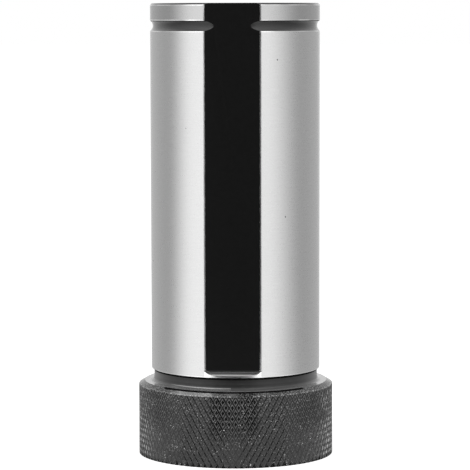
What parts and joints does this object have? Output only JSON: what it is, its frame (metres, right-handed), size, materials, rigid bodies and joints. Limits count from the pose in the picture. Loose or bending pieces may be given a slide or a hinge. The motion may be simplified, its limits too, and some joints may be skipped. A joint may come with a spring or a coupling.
{
  "type": "lathe tool holder sleeve",
  "caption": "Round steel sleeve for a boring bar: ground shank with milled flats and a ring groove, knurled head, through bore and socket set screws that clamp the bar.",
  "frame": {"origin": "centre of the head's outer face, on which the sleeve stands", "axes": "+Z along the bore from the head to the free end; -Y out of the plain flat; +Y out of the flat with the clamp screws"},
  "size_m": [0.037, 0.037, 0.0854],
  "materials": {
    "ground_and_blackened_steel": "shank and bore ground bright; flats, ring groove, neck, head and end faces blackened",
    "screw_steel": "black oxide, oiled"
  },
  "bodies": {
    "sleeve": {"sleeve_body": "ground_and_blackened_steel"},
    "clamp_screw_1": {"clamp_screw_1": "screw_steel"},
    "clamp_screw_2": {"clamp_screw_2": "screw_steel"},
    "clamp_screw_3": {"clamp_screw_3": "screw_steel"},
    "clamp_screw_4": {"clamp_screw_4": "screw_steel"}
  },
  "joints": [
    {"name": "clamp_screw_1_travel", "type": "slide", "parent": "sleeve", "child": "clamp_screw_1", "axis": [0, -1, 0], "range_m": [-0.0008, 0.0025]},
    {"name": "clamp_screw_2_travel", "type": "slide", "parent": "sleeve", "child": "clamp_screw_2", "axis": [0, -1, 0], "range_m": [-0.0008, 0.0025]},
    {"name": "clamp_screw_3_travel", "type": "slide", "parent": "sleeve", "child": "clamp_screw_3", "axis": [0, -1, 0], "range_m": [-0.0008, 0.0025]},
    {"name": "clamp_screw_4_travel", "type": "slide", "parent": "sleeve", "child": "clamp_screw_4", "axis": [0, -1, 0], "range_m": [-0.0008, 0.0025]}
  ]
}
